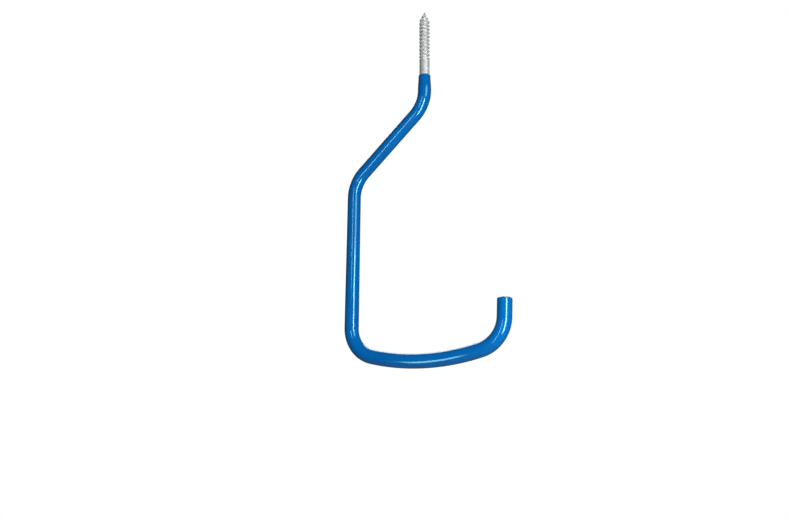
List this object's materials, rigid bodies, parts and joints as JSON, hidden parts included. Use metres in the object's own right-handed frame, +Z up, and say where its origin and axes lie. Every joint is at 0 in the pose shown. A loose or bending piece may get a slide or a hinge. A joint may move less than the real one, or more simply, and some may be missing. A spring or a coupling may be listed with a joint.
{
  "type": "bicycle storage hook",
  "caption": "Screw-in bicycle hook: round steel bar bent in a single plane, wood-screw thread on top, offset neck, wide shallow U and short upright tip, dipped in blue vinyl.",
  "frame": {"origin": "on the screw's axis, level with the face of the beam that the hook is screwed into", "axes": "+Z up along the screw into the wood; the bar lies in the XZ plane, with the long shank toward -X and the open tip toward +X"},
  "size_m": [0.1548, 0.0126, 0.3243],
  "materials": {
    "zinc_steel": "bright zinc plate",
    "blue_vinyl": "glossy dip-coated vinyl"
  },
  "bodies": {
    "root": {"steel_rod": "zinc_steel", "vinyl_coating": "blue_vinyl"}
  },
  "joints": []
}
